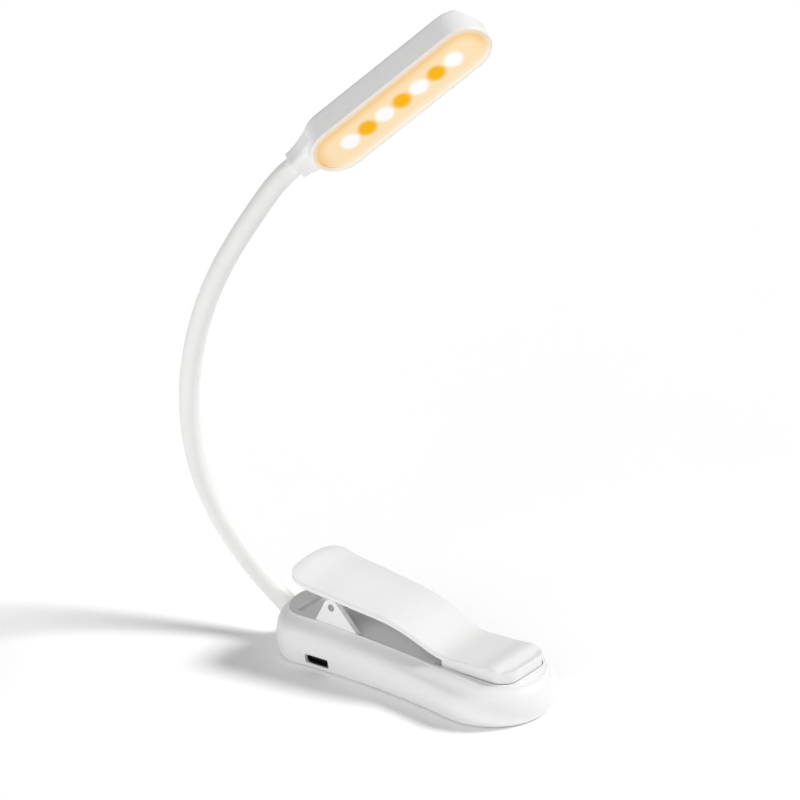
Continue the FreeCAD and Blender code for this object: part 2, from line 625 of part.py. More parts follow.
def make_electronics():
    floor = PARTING_Z
    battery_end = FRONT_SCREW_X - BATTERY_TO_SCREW
    tape_half = BATTERY_WIDTH / 2 - TAPE_MARGIN
    PARTS["battery_tape"] = box(
        (BATTERY_REAR + TAPE_MARGIN, -tape_half, floor),
        (battery_end - TAPE_MARGIN, tape_half, floor + TAPE_THICKNESS))
    low = floor + TAPE_THICKNESS
    cell = box((BATTERY_REAR, -BATTERY_WIDTH / 2, low),
               (battery_end, BATTERY_WIDTH / 2, low + BATTERY_THICKNESS))
    long_edges = [e for e in cell.Edges if e.BoundBox.XLength > 1]
    PARTS["battery"] = cell.makeFillet(BATTERY_ROUND, long_edges)
    top = BOARD_Z + BOARD_THICKNESS
    switch_edge = min(switch_front_y(x) for x in BUTTON_X.values())
    board = box((BOARD_REAR, -BOARD_HALF, BOARD_Z), (BOARD_FRONT, switch_edge, top))
    upright = [e for e in board.Edges if e.BoundBox.ZLength > BOARD_THICKNESS / 2]
    board = board.makeFillet(BOARD_CORNER, upright)
    for place in board_screw_places():
        board = board.cut(Part.makeCylinder(SCREW_RADIUS, SPAN, V(place.x, place.y, 0)))
    PARTS["control_board"] = board
    mid_z = BOARD_Z - PORT_HEIGHT / 2
    mouth_y = PORT_SETBACK - side_half(PORT_X, mid_z)
    back_y = mouth_y + PORT_DEPTH
    can = port_form(0, mouth_y, back_y).cut(port_form(-PORT_SHEET, mouth_y - 1, back_y - PORT_SHEET))
    PARTS["usb_c_shell"] = can
    plug_y = back_y - PORT_SHEET - PLUG_THICKNESS
    tongue = box((PORT_X - TONGUE_WIDTH / 2, mouth_y + TONGUE_SETBACK, mid_z - TONGUE_THICKNESS / 2),
                 (PORT_X + TONGUE_WIDTH / 2, plug_y, mid_z + TONGUE_THICKNESS / 2))
    plug = port_form(-PORT_SHEET, plug_y, back_y - PORT_SHEET)
    PARTS["usb_c_tongue"] = join([tongue, plug])
    PARTS["driver_chip"] = box(CHIP_LOW, CHIP_LOW + CHIP_SIZE)
    PARTS["charge_led"] = box(CHARGE_LED_LOW, CHARGE_LED_LOW + CHARGE_LED_SIZE)


def make_buttons():
    switches = []
    for name, x in BUTTON_X.items():
        inner = V(x, button_inner_y(x), BUTTON_Z)
        wall = side_half(x, BUTTON_Z)
        flange = Part.makeCylinder(BUTTON_FLANGE, BUTTON_FLANGE_THICKNESS, inner, V(0, 1, 0))
        cap = Part.makeCylinder(BUTTON_RADIUS, wall + BUTTON_PROUD - inner.y, inner, V(0, 1, 0))
        rim = [e for e in cap.Edges if len(e.Vertexes) == 1 and e.Vertexes[0].Y > wall]
        PARTS[name] = join([flange, cap.makeFillet(BUTTON_ROUND, rim)])
        front = switch_front_y(x)
        top = BOARD_Z + BOARD_THICKNESS
        body = box((x - SWITCH_SIZE / 2, front - SWITCH_DEPTH, top),
                   (x + SWITCH_SIZE / 2, front, top + SWITCH_HEIGHT))
        nub = box((x - SWITCH_NUB_WIDTH / 2, front, BUTTON_Z - SWITCH_NUB_HEIGHT / 2),
                  (x + SWITCH_NUB_WIDTH / 2, front + SWITCH_NUB, BUTTON_Z + SWITCH_NUB_HEIGHT / 2))
        switches.append(body.fuse(nub))
    PARTS["tactile_switches"] = Part.makeCompound(switches)


# ---- Lever ----------------------------------------------------------------------------------------------
def thumb_edge_z(x):
    """Height of the top of the lever's long edge along the thumb plate."""
    slope = math.sqrt(1 + THUMB_SLOPE ** 2)
    above_pin = (EAR_TOP_RADIUS + LEVER_GAP) * slope + LEVER_THICKNESS
    return PIN_Z + above_pin + THUMB_SLOPE * (x - PIN_X)


def lever_edge_z(x):
    """Height of the top of the lever's long edge, over thumb plate, ramp and jaw."""
    def bend(z_at, x_at, before, after, half):
        """Parabola that carries one slope smoothly over to the next."""
        run = x - (x_at - half)
        return z_at - before * half + before * run + (after - before) * run * run / (4 * half)
    start_z = thumb_edge_z(RAMP_START_X)
    end_z = start_z + RAMP_SLOPE * (RAMP_END_X - RAMP_START_X)
    if x < RAMP_START_X - RAMP_START_BLEND:
        return thumb_edge_z(x)
    if x < RAMP_START_X + RAMP_START_BLEND:
        return bend(start_z, RAMP_START_X, THUMB_SLOPE, RAMP_SLOPE, RAMP_START_BLEND)
    if x < RAMP_END_X - RAMP_END_BLEND:
        return start_z + RAMP_SLOPE * (x - RAMP_START_X)
    if x < RAMP_END_X + RAMP_END_BLEND:
        return bend(end_z, RAMP_END_X, RAMP_SLOPE, JAW_SLOPE, RAMP_END_BLEND)
    return end_z + JAW_SLOPE * (x - RAMP_END_X)


def lever_crown(x):
    """Rise of the lever's middle over its edges: full on the thumb plate, almost none on the jaw."""
    along = (x - LEVER_REAR) / (RAMP_END_X - LEVER_REAR)
    fade = max(0.0, min(1.0, 1 - along))
    return 0.15 + (THUMB_CROWN - 0.15) * fade * fade * (3 - 2 * fade)


def lever_half(x):
    """Half width of the plate, which broadens from the ramp's foot to the thumb end."""
    along = max(0.0, min(1.0, (RAMP_END_X - x) / (RAMP_END_X - LEVER_REAR)))
    return (LEVER_WIDTH + (THUMB_WIDTH - LEVER_WIDTH) * math.sin(along * math.pi / 2)) / 2


def plate_underside(x, y):
    """Height of the hollow underside of the plate."""
    share = y / lever_half(x)
    return lever_edge_z(x) - LEVER_THICKNESS + lever_crown(x) * (1 - share * share)


def lever_section(x):
    """Cross-section of the plate at x: crowned above and hollow below, with rounded upper edges."""
    half = lever_half(x)
    r = LEVER_EDGE_ROUND
    edge = lever_edge_z(x)
    crown = lever_crown(x)
    low = edge - LEVER_THICKNESS
    near = math.sqrt(0.5)
    top_start = V(x, half - r, edge + crown * 0.1)
    side_top = V(x, half, edge - r)
    corner = V(x, half - r + r * near, edge - r + (r + crown * 0.1) * near)
    flip = lambda p: V(p.x, -p.y, p.z)
    parts = [
        Part.Arc(top_start, V(x, 0, edge + crown), flip(top_start)).toShape(),
        Part.Arc(flip(top_start), flip(corner), flip(side_top)).toShape(),
        Part.LineSegment(flip(side_top), V(x, -half, low)).toShape(),
        Part.Arc(V(x, -half, low), V(x, 0, low + crown), V(x, half, low)).toShape(),
        Part.LineSegment(V(x, half, low), side_top).toShape(),
        Part.Arc(side_top, corner, top_start).toShape(),
    ]
    return Part.Wire(parts)


def round_uprights(block, radius, choose):
    """Rounds the upright edges whose place in plan passes the test."""
    upright = [e for e in block.Edges if len(e.Vertexes) == 2 and e.BoundBox.ZLength > 1
               and e.BoundBox.XLength + e.BoundBox.YLength < 0.01 and choose(e.BoundBox.Center)]
    return block.makeFillet(radius, upright)


def lever_plan():
    """The lever's plan: big round corners at the thumb end, smaller ones at the jaw tip."""
    half = THUMB_WIDTH / 2
    tip_half = LEVER_WIDTH / 2
    rear = box((LEVER_REAR, -half, 0), (0, half, SPAN / 4))
    rear = round_uprights(rear, THUMB_CORNER, lambda at: at.x < -1)
    front = box((-1, -tip_half, 0), (LEVER_TIP, tip_half, SPAN / 4))
    front = round_uprights(front, TIP_CORNER, lambda at: at.x > 0)
    middle = box((-1, -half, 0), (JAW_START_X + 1, half, SPAN / 4))
    return rear.fuse([front, middle])


def under_lever(margin):
    """Everything below the middle of the plate, for trimming what hangs from it."""
    count = 24
    xs = [LEVER_REAR + (LEVER_TIP - LEVER_REAR) * k / count for k in range(count + 1)]
    line = [V(x, 0, lever_edge_z(x) - margin) for x in xs]
    outline = [V(xs[0], 0, 0)] + line + [V(xs[-1], 0, 0)]
    solid = prism(outline, THUMB_WIDTH, V(0, 1, 0))
    solid.translate(V(0, -THUMB_WIDTH / 2, 0))
    return solid


def lever_stations():
    """Places along the lever where its section is set: a few in each stretch, closest in the bends."""
    marks = [
        (LEVER_REAR - 1, 4),
        (RAMP_START_X - RAMP_START_BLEND, 4),
        (RAMP_START_X + RAMP_START_BLEND, 2),
        (RAMP_END_X - RAMP_END_BLEND, 4),
        (RAMP_END_X + RAMP_END_BLEND, 4),
        (LEVER_TIP + 1, 1),
    ]
    stations = []
    for (start, steps), (end, _) in zip(marks, marks[1:]):
        stations += [start + (end - start) * k / steps for k in range(steps)]
    return stations + [LEVER_TIP + 1]


def make_lever():
    plate = Part.makeLoft([lever_section(x) for x in lever_stations()], True, False)
    plate = plate.common(lever_plan())
    under = under_lever(LEVER_THICKNESS * 0.5)
    jaw_low = PAD_TOP_Z + JAW_CLOSED_GAP + JAW_PAD_PROUD
    tray = jaw_plan(0, JAW_START_X, jaw_low, SPAN / 4)
    tray = tray.cut(jaw_plan(-JAW_WALL, JAW_START_X + JAW_WALL, jaw_low - 1, SPAN / 4)).common(under)
    pieces = [plate, tray]
    for side in (-1, 1):
        outer = WEB_OUTER if side > 0 else -WEB_OUTER + WEB_THICKNESS
        web_low = outer - WEB_THICKNESS
        web = prism([V(PIN_X - 8, web_low, SPAN / 4), V(PIN_X - EAR_TOP_RADIUS, web_low, PIN_Z),
                     V(PIN_X + EAR_TOP_RADIUS, web_low, PIN_Z), V(PIN_X + 10, web_low, SPAN / 4)],
                    WEB_THICKNESS, V(0, 1, 0))
        knuckle = Part.makeCylinder(EAR_TOP_RADIUS, WEB_THICKNESS, V(PIN_X, web_low, PIN_Z), V(0, 1, 0))
        pieces.append(web.fuse(knuckle).common(under_lever(LEVER_THICKNESS * 0.5 - 0.3)))
        rib_y = side * (WEB_OUTER - WEB_THICKNESS / 2)
        rib = box((PIN_X, rib_y - RIB_THICKNESS / 2, 0),
                  (JAW_START_X + 1, rib_y + RIB_THICKNESS / 2, SPAN / 4))
        deep = under_lever(LEVER_THICKNESS + RIB_DEPTH)
        pieces.append(rib.common(under).cut(deep))
    lever = join(pieces)
    hole = Part.makeCylinder(PIN_RADIUS + PIN_RUNNING, SPAN, V(PIN_X, -SPAN / 2, PIN_Z), V(0, 1, 0))
    PARTS["clip_lever"] = lever.cut(hole)
    pad_low = PAD_TOP_Z + JAW_CLOSED_GAP
    inside = JAW_WALL + LOOSE
    PARTS["lever_jaw_pad"] = jaw_plan(-inside, JAW_START_X + inside, pad_low, jaw_low + JAW_PAD_DEPTH)


# ---- Torsion spring ---------------------------------------------------------------------------------------
def spring_half(side, leg_angle):
    """Half of the coil and its leg. side is -1 for the half that bears on the base, 1 for the lever's."""
    height = SPRING_PITCH * SPRING_TURNS
    helix = Part.makeHelix(SPRING_PITCH, height, SPRING_RADIUS)
    ring = Part.Wire(Part.Circle(V(SPRING_RADIUS, 0, 0), V(0, 1, 0), WIRE_RADIUS).toShape())
    coil = Part.Wire(helix).makePipeShell([ring], True, True)
    leg = Part.makeCylinder(WIRE_RADIUS, SPRING_LEG, V(SPRING_RADIUS, 0, 0), V(0, -1, 0))
    knob = Part.makeSphere(WIRE_RADIUS, V(SPRING_RADIUS, 0, 0))
    half = coil.fuse([leg, knob])
    half.translate(V(0, 0, -height - WIRE_RADIUS * 1.1))
    # the coil's axis is laid along Y, and its leg, which left along -Y, now points up
    half.rotate(ORIGIN, V(1, 0, 0), -90)
    if side > 0:
        half = half.mirror(ORIGIN, V(0, 1, 0))
        half.rotate(ORIGIN, V(0, 1, 0), 90 - leg_angle)
    else:
        half = half.mirror(ORIGIN, V(0, 0, 1))
        half.rotate(ORIGIN, V(0, 1, 0), -90 - leg_angle)
    half.translate(PIN_CENTRE)
    return half


def leg_angle(side):
    """Turns a leg, from pointing straight back, until its end meets what it presses on."""
    y = SPRING_PITCH * SPRING_TURNS
    for tenths in range(900):
        turn = 180 - side * tenths * 0.1
        c, s = math.cos(math.radians(turn)), math.sin(math.radians(turn))
        x = PIN_X + SPRING_RADIUS * s * side + SPRING_LEG * c
        z = PIN_Z - SPRING_RADIUS * c * side + SPRING_LEG * s
        if side > 0:
            room = plate_underside(x, y) - z
        else:
            room = z - (top_z(x) - RECESS_DEPTH)
        if room < WIRE_RADIUS + LEG_GAP:
            break
    return turn


def make_spring():
    PARTS["spring_base_half"] = spring_half(-1, leg_angle(-1))
    PARTS["spring_lever_half"] = spring_half(1, leg_angle(1))


# ---- Lamp head: built along X with the light face up, then turned into place -------------------------
HEAD_LONG = heading(NECK_DIRECTIONS[-1])
FACE = (FACE_ROLL - HEAD_LONG * FACE_ROLL.dot(HEAD_LONG)).normalize()
HEAD_SIDE = FACE.cross(HEAD_LONG)


def place_head(shape):
    """Head frame: X along the head from the neck's end, Z out of the light face, Z = 0 on that face."""
    corner = BENDS[-1].end + FACE * AXIS_DEPTH
    x, y, z = HEAD_LONG, HEAD_SIDE, FACE
    shape.Placement = FreeCAD.Placement(FreeCAD.Matrix(
        x.x, y.x, z.x, corner.x, x.y, y.y, z.y, corner.y, x.z, y.z, z.z, corner.z, 0, 0, 0, 1))
    return shape


def capsule(margin, low, high):
    """A long form with round ends, moved in from the head's edge by margin."""
    radius = HEAD_WIDTH / 2 - margin
    first = HEAD_START + HEAD_WIDTH / 2
    last = HEAD_START + HEAD_LENGTH - HEAD_WIDTH / 2
    ends = [V(first, radius, low), V(first - radius, 0, low), V(first, -radius, low)]
    far = [V(last, -radius, low), V(last + radius, 0, low), V(last, radius, low)]
    wire = Part.Wire([
        Part.Arc(*ends).toShape(), Part.LineSegment(ends[2], far[0]).toShape(),
        Part.Arc(*far).toShape(), Part.LineSegment(far[2], ends[0]).toShape(),
    ])
    return Part.Face(wire).extrude(V(0, 0, high - low))


def nose_bevel(shift):
    """What the sloping far end of the back shell takes away."""
    end = HEAD_START + HEAD_LENGTH - shift
    back = -HEAD_THICKNESS + shift
    far = SPAN / 4
    outline = [
        V(end - NOSE_BEVEL_LENGTH, -far, back),
        V(end, -far, -PARTING_DEPTH),
        V(end + far, -far, -PARTING_DEPTH),
        V(end + far, -far, back - far),
        V(end - NOSE_BEVEL_LENGTH, -far, back - far),
    ]
    return prism(outline, far * 2, V(0, 1, 0))


def collar_section(x, half, front, back):
    """Rounded rectangle across the head's neck end. front and back are measured from the neck's axis."""
    low = -AXIS_DEPTH - back
    high = -AXIS_DEPTH + front
    block = box((x, -half, low), (x + 1, half, high))
    block = block.makeFillet(COLLAR_ROUND, [e for e in block.Edges if e.BoundBox.XLength > 0.9])
    end = min(block.Faces, key=lambda face: face.CenterOfMass.x)
    return end.OuterWire


def head_fairing():
    """The head's neck end, which swells from the collar into the round end of the body."""
    wide = HEAD_WIDTH / 2
    body_back = HEAD_THICKNESS - AXIS_DEPTH - 0.1
    body_front = AXIS_DEPTH - FRONT_ROUND - 0.1
    return Part.makeLoft([
        collar_section(COLLAR_MOUTH, COLLAR_HALF, COLLAR_DEPTH, COLLAR_DEPTH),
        collar_section(HEAD_START * 0.4, COLLAR_HALF + 0.3, COLLAR_DEPTH + 0.1, COLLAR_DEPTH),
        collar_section(HEAD_START + 1.5, wide * 0.67, COLLAR_DEPTH + 0.6, body_back),
        collar_section(HEAD_START + 6.0, wide * 0.86, body_front, body_back),
    ], True, False)


def head_outside():
    body = capsule(0, -HEAD_THICKNESS, 0)
    back_edges = [e for e in body.Edges if e.BoundBox.ZMax < -HEAD_THICKNESS + 0.01]
    body = body.makeFillet(BACK_ROUND, back_edges)
    front_edges = [e for e in body.Edges if e.BoundBox.ZMin > -0.01]
    body = body.makeFillet(FRONT_ROUND, front_edges)
    return body.cut(nose_bevel(0)).fuse(head_fairing())


def make_head():
    outside = head_outside()
    cavity_high = -LENS_SETBACK - LENS_THICKNESS - LENS_LEDGE
    cavity = capsule(HEAD_WALL, HEAD_WALL - HEAD_THICKNESS, cavity_high).cut(nose_bevel(HEAD_WALL))
    window = capsule(WINDOW_MARGIN, -LENS_SETBACK - LENS_THICKNESS, 1)
    ledge = capsule(WINDOW_MARGIN + LENS_LEDGE, -HEAD_THICKNESS / 2, 1)
    socket = neck_socket_hollow(V(0, 0, -AXIS_DEPTH), V(1, 0, 0))
    socket = socket.common(box((-SPAN, -SPAN, -SPAN), (HEAD_START + 8, SPAN, SPAN)))
    shell = outside.cut(cavity).cut(window).cut(ledge)
    shell = shell.cut(socket)
    below = box((-SPAN, -SPAN, -SPAN), (SPAN, SPAN, -PARTING_DEPTH))
    PARTS["head_back_shell"] = place_head(shell.common(below).removeSplitter())
    PARTS["head_front_bezel"] = place_head(shell.cut(below).removeSplitter())
    lens = capsule(WINDOW_MARGIN + LENS_GAP, -LENS_SETBACK - LENS_THICKNESS, -LENS_SETBACK)
    PARTS["diffuser_lens"] = place_head(lens)
    board_top = -LED_BOARD_DEPTH + LED_BOARD_THICKNESS
    board = capsule(WINDOW_MARGIN + LENS_LEDGE + 1.2, -LED_BOARD_DEPTH, board_top)
    board = board.cut(box((-SPAN, -SPAN, -SPAN), (HEAD_START + HEAD_WIDTH / 2, SPAN, SPAN)))
    PARTS["led_board"] = place_head(board)
    centre_x = HEAD_START + HEAD_LENGTH / 2
    places = [centre_x + (k - (LED_COUNT - 1) / 2) * LED_PITCH for k in range(LED_COUNT)]
    reflector_low = board_top + LED_PACKAGE_HEIGHT + LOOSE
    reflector = capsule(WINDOW_MARGIN + LENS_LEDGE + 0.6, reflector_low, reflector_low + REFLECTOR_THICKNESS)
    colours = {"white_leds": [], "amber_leds": []}
    for k, x in enumerate(places):
        half = LED_PACKAGE / 2
        package_top = board_top + LED_PACKAGE_HEIGHT
        package = box((x - half, -half, board_top), (x + half, half, package_top))
        dome = Part.makeCylinder(LED_DOME_RADIUS, LED_DOME_HEIGHT, V(x, 0, package_top))
        upper = [e for e in dome.Edges if e.BoundBox.ZMin > package_top + LED_DOME_HEIGHT / 2]
        dome = dome.makeFillet(LED_DOME_ROUND, upper)
        colours["amber_leds" if k % 2 else "white_leds"].append(package.fuse(dome))
        hole = Part.makeCylinder(LED_DOME_RADIUS + REFLECTOR_HOLE_GAP, SPAN, V(x, 0, -SPAN / 2))
        reflector = reflector.cut(hole)
    PARTS["reflector"] = place_head(reflector)
    for name, lamps in colours.items():
        PARTS[name] = place_head(Part.makeCompound(lamps))
    PARTS["neck_head_ferrule"] = neck_ferrule(BENDS[-1].end, HEAD_LONG)


make_neck()
make_base_shell()
make_base_cover()
make_fasteners()
make_base_pad()
make_electronics()
make_buttons()
make_lever()
make_spring()
make_head()

os.makedirs("parts", exist_ok=True)
for name, shape in PARTS.items():
    shape.exportStep("parts/" + name + ".step")
    kinds = "valid" if shape.isValid() else "NOT VALID"
    print(f"{name:22s} solids {len(shape.Solids)} volume {shape.Volume:9.1f} {kinds}")
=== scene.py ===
import json
import math

import bpy
import numpy as np
from mathutils import Matrix, Vector


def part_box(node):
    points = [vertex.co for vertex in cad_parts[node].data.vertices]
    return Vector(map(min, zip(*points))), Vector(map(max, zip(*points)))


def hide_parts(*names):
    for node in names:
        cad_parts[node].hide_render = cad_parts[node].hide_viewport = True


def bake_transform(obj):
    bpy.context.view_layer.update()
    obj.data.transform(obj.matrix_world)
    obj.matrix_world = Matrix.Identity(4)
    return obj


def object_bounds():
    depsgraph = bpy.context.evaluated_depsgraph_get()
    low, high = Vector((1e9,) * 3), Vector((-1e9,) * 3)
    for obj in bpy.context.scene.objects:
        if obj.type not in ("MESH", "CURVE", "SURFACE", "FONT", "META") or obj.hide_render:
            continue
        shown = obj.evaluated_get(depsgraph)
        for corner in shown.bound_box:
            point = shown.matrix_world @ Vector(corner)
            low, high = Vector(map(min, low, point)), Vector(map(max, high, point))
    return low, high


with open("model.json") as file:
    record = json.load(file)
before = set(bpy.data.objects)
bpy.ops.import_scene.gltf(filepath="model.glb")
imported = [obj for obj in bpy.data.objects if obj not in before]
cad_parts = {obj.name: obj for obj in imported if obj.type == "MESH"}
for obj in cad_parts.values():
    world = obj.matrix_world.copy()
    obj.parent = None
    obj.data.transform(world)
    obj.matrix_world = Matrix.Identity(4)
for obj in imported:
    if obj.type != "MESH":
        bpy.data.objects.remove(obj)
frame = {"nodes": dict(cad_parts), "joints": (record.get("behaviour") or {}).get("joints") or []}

cad_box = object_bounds()
nodes = frame["nodes"]


# ---- Base housing ---------------------------------------------------------------------------------
# The clip's body: an upper shell and a bottom cover, both injection moulded in white ABS and screwed
# together from below. The mould is polished, so the plastic is satin and shows soft reflections.
def linear(hex_colour):
    """An sRGB hex colour as linear red, green, blue and alpha."""
    channels = [int(hex_colour[k:k + 2], 16) / 255 for k in (1, 3, 5)]
    return (*[c / 12.92 if c <= 0.04045 else ((c + 0.055) / 1.055) ** 2.4 for c in channels], 1.0)


def add(tree, kind, inputs=None, **settings):
    """A shader node with its settings, whose inputs are values or the outputs of other nodes."""
    made = tree.nodes.new("ShaderNode" + kind)
    for key, value in settings.items():
        setattr(made, key, value)
    for key, value in (inputs or {}).items():
        if isinstance(value, bpy.types.NodeSocket):
            tree.links.new(value, made.inputs[key])
        else:
            made.inputs[key].default_value = value
    return made


def new_material(name):
    """An empty node material: its tree and the output node."""
    made = bpy.data.materials.new(name)
    made.use_nodes = True
    made.node_tree.nodes.clear()
    out = add(made.node_tree, "OutputMaterial")
    return made, made.node_tree, out


def mixed(tree, factor, colour, second):
    """One colour at factor 0 and the second at 1."""
    return add(tree, "Mix", {"Factor": factor, "A": colour, "B": second}, data_type="RGBA").outputs["Result"]


def scale_of(millimetres):
    """Noise scale, in object space, whose grains are this long."""
    return 1000.0 / millimetres


BUMP_STRENGTH = 0.5
NOISE_LOW, NOISE_HIGH = 0.3, 0.7     # nearly all values of a noise node lie between these


def grained(name, colour, second, roughness, spread, patch_mm, grain_mm, bump, **shader):
    """A surface whose colour and roughness drift in soft patches, with a fine grain raised by bump mm."""
    made, tree, out = new_material(name)
    place = add(tree, "TexCoord").outputs["Object"]
    patches = add(tree, "TexNoise", {"Vector": place, "Scale": scale_of(patch_mm), "Detail": 3.0})
    grain = add(tree, "TexNoise", {"Vector": place, "Scale": scale_of(grain_mm), "Detail": 2.0})
    tint = mixed(tree, patches.outputs["Fac"], linear(colour), linear(second))
    rough = add(tree, "MapRange", {
        "Value": patches.outputs["Fac"], "From Min": NOISE_LOW, "From Max": NOISE_HIGH,
        "To Min": roughness - spread, "To Max": roughness + spread})
    raised = add(tree, "Bump", {"Height": grain.outputs["Fac"], "Strength": BUMP_STRENGTH,
                                "Distance": bump / 1000})
    surface = add(tree, "BsdfPrincipled", {"Base Color": tint, "Roughness": rough.outputs["Result"],
                                           "Normal": raised.outputs["Normal"], **shader})
    tree.links.new(surface.outputs["BSDF"], out.inputs["Surface"])
    return made


def dress(material, *names):
    """Puts a material on CAD nodes."""
    for name in names:
        nodes[name].data.materials.clear()
        nodes[name].data.materials.append(material)


# white ABS, satin: a bright neutral white with a soft sheen and the faint ripple of a moulded skin
white_abs = grained("white_abs_satin", "#EEEEED", "#EBECEC", roughness=0.34, spread=0.03, patch_mm=14,
                    grain_mm=0.9, bump=0.003, **{"IOR": 1.53, "Specular IOR Level": 0.5})
dress(white_abs, "base_upper_shell", "base_bottom_cover")


# ---- Silicone foot and jaw pads -------------------------------------------------------------------
# Three flat pads of white silicone rubber, laid into the cover and into both jaws, so that the lamp
# doesn't slide on a table and the clip doesn't mark a page. They are moulded matt.
pad_silicone = grained("white_silicone_matt", "#ECEBE8", "#E4E3E0", roughness=0.62, spread=0.05, patch_mm=9,
                       grain_mm=0.5, bump=0.03, **{"IOR": 1.43, "Sheen Weight": 0.15, "Sheen Roughness": 0.5})
dress(pad_silicone, "base_foot_pad", "base_jaw_pad", "lever_jaw_pad")


# ---- Screws, hinge pin and crimp rings ------------------------------------------------------------
# Zinc-plated steel: four screws in the cover, two on the circuit board, the pressed-in hinge pin, and
# the rings that hold the neck's hose. The plating is bright with fine turning marks.
def metal(name, colour, second, roughness, spread, patch_mm, grain_mm, bump):
    return grained(name, colour, second, roughness, spread, patch_mm, grain_mm, bump, **{"Metallic": 1.0})


# zinc plate on steel: mid grey, half-bright
zinc_steel = metal("zinc_plated_steel", "#A9ABAD", "#97999C", roughness=0.34, spread=0.07, patch_mm=1.5,
                   grain_mm=0.25, bump=0.01)
dress(zinc_steel, "base_screws", "board_screws", "hinge_pin", "neck_base_ferrule", "neck_head_ferrule")


# ---- Battery --------------------------------------------------------------------------------------
# A flat lithium cell in a crinkled aluminium pouch, held to the cover by black foam tape.
# aluminium foil pouch: pale metal with shallow dents
pouch_foil = metal("aluminium_pouch_foil", "#C9CBCE", "#B9BCC0", roughness=0.38, spread=0.08, patch_mm=6,
                   grain_mm=2.2, bump=0.12)
# foam tape: dull black with open pores
foam_black = grained("black_foam_tape", "#1B1B1C", "#242425", roughness=0.92, spread=0.03, patch_mm=2,
                     grain_mm=0.45, bump=0.15, **{"IOR": 1.45})
dress(pouch_foil, "battery")
dress(foam_black, "battery_tape")


# ---- Control board, chip, switches and charge light -----------------------------------------------
# The circuit board carries the charging and dimming electronics. It is green glass-fibre board with
# black moulded components and one small white charge LED that shines through the housing.
# green solder mask over woven glass: glossy, with the weave just visible
solder_mask = grained("green_solder_mask", "#0E5A34", "#0B4A2B", roughness=0.30, spread=0.05, patch_mm=3,
                      grain_mm=0.6, bump=0.02, **{"IOR": 1.55, "Coat Weight": 0.3})
# black epoxy moulding compound: dark and matt with a faint grain
black_epoxy = grained("black_moulded_epoxy", "#161617", "#1E1E1F", roughness=0.55, spread=0.05, patch_mm=2,
                      grain_mm=0.3, bump=0.02, **{"IOR": 1.55})
# white LED casting resin: milky and slightly shiny
milky_resin = grained("milky_led_resin", "#F7F5EA", "#EFEDE0", roughness=0.35, spread=0.05, patch_mm=1,
                      grain_mm=0.3, bump=0.01, **{"IOR": 1.5})
dress(solder_mask, "control_board")
dress(black_epoxy, "driver_chip", "tactile_switches")
dress(milky_resin, "charge_led")


# ---- Charging socket ------------------------------------------------------------------------------
# A standard USB-C receptacle, set back in the wall: a drawn steel can round a black nylon tongue. From
# outside it reads as a black slot, because the can is in shadow.
# nickel-plated steel, coloured dark grey as painted shade, since the can sits in shadow
socket_steel_painted_shade = metal("nickel_socket_painted_shade", "#6E7073", "#5A5C5F", roughness=0.42, spread=0.06, patch_mm=1.5,
                     grain_mm=0.3, bump=0.008)
# black glass-filled nylon: deep black, satin
black_nylon = grained("black_nylon", "#0B0B0C", "#131314", roughness=0.48, spread=0.05, patch_mm=2,
                      grain_mm=0.3, bump=0.02, **{"IOR": 1.53})
dress(socket_steel_painted_shade, "usb_c_shell")
dress(black_nylon, "usb_c_tongue")


# ---- Push buttons ---------------------------------------------------------------------------------
# Two small ABS caps, for brightness and for the colour of the light, moulded in the housing's white and
# a shade smoother from handling.
# white ABS, polished: the housing's white with a clearer highlight
button_abs = grained("white_abs_polished", "#F4F4F3", "#EFF0F0", roughness=0.22, spread=0.03, patch_mm=5,
                     grain_mm=0.8, bump=0.004, **{"IOR": 1.53})
dress(button_abs, "brightness_button", "colour_button")


# ---- Clip lever and its spring --------------------------------------------------------------------
# The lever is one ABS moulding: a broad crowned thumb plate, a ramp and the upper jaw. It turns on the
# hinge pin against a torsion spring wound from bright music wire.
# spring wire: darker and brighter-edged than the plated parts, with drawing lines
music_wire = metal("drawn_music_wire", "#8C8E91", "#7A7C80", roughness=0.28, spread=0.05, patch_mm=1,
                   grain_mm=0.2, bump=0.01)
dress(white_abs, "clip_lever")
dress(music_wire, "spring_base_half", "spring_lever_half")


# ---- Gooseneck ------------------------------------------------------------------------------------
# One white silicone sleeve over a wound steel hose that carries the wires. Each visible length runs from
# the middle of one link to the middle of the next and curves smoothly through the joint between them.
SLEEVE_RADIUS = 0.0036
SLEEVE_SIDES = 40
ROOT_RUN = 0.013             # from the sleeve's end inside the base to the first joint
HEAD_RUN = 0.003             # how far the sleeve goes into the head's collar
FERRULE_MIDDLE = 0.0058      # from the neck's end to the middle of the head's crimp ring
STEPS = 24                   # rings in one link
HEAD_STEPS = 4               # rings inside the head's collar

neck_joints = [joint for joint in frame["joints"] if joint["name"].startswith("neck_")]


def principal_axes(name):
    """Middle of a CAD node and its three directions, longest first."""
    points = np.array([vertex.co for vertex in nodes[name].data.vertices])
    low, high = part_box(name)
    spread = np.linalg.svd(points - points.mean(0), full_matrices=False)[2]
    return (low + high) / 2, [Vector(row) for row in spread]


lens_middle, lens_axes = principal_axes("diffuser_lens")
neck_points = [Vector(joint["pos_m"]) for joint in neck_joints]
head_along = lens_axes[0]
if head_along.dot(lens_middle - neck_points[-1]) < 0:
    head_along = -head_along
face_out = lens_axes[2]
ferrule_low, ferrule_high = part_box("neck_head_ferrule")
neck_end = (ferrule_low + ferrule_high) / 2 - head_along * FERRULE_MIDDLE
if face_out.dot(lens_middle - neck_end) < 0:
    face_out = -face_out

# the neck's direction at each joint follows from the last joint's axis, back along equal arcs
headings = [Vector(neck_joints[-1]["axis"]).normalized()]
for before, after in zip(neck_points[-2::-1], neck_points[:0:-1]):
    chord = (after - before).normalized()
    headings.insert(0, 2 * headings[0].dot(chord) * chord - headings[0])


